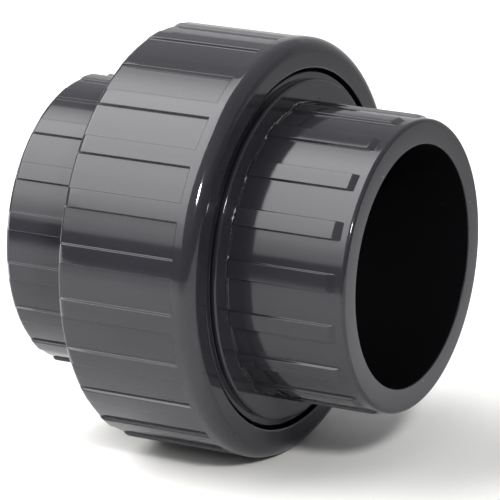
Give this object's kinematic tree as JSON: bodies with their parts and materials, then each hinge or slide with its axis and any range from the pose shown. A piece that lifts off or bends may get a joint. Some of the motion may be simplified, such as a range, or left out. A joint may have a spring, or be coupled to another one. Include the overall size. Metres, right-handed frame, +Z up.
{
  "type": "pipe union fitting",
  "caption": "Solvent-weld pipe union in dark grey rigid plastic: two socket ends drawn together on a rubber ring by a large ribbed nut.",
  "frame": {"origin": "on the union axis, halfway between the two socket mouths", "axes": "+X along the union axis out of the tail end, -X out of the threaded end, +Z up as the fitting lies on its nut"},
  "size_m": [0.0996, 0.1106, 0.1106],
  "materials": {
    "pvc_threaded_end": "moulded, semi-gloss",
    "pvc_tail_end": "moulded, semi-gloss",
    "pvc_nut": "moulded, semi-gloss",
    "epdm_seal": "matte rubber"
  },
  "bodies": {
    "threaded_end": {"threaded_end_connector": "pvc_threaded_end", "o_ring_seal": "epdm_seal"},
    "tail": {"tail_end_connector": "pvc_tail_end"},
    "nut": {"union_nut": "pvc_nut"}
  },
  "joints": [
    {"name": "tail_draw", "type": "slide", "parent": "threaded_end", "child": "tail", "axis": [1, 0, 0], "range_m": [0, 0.0241]},
    {"name": "nut_spin", "type": "hinge", "parent": "tail", "child": "nut", "pos_m": [0, 0, 0], "axis": [1, 0, 0], "range_deg": [0, 2160]}
  ],
  "couplings": [
    {"joint": "tail_draw", "follows": "nut_spin", "m_per_rad": 0.00063662}
  ]
}
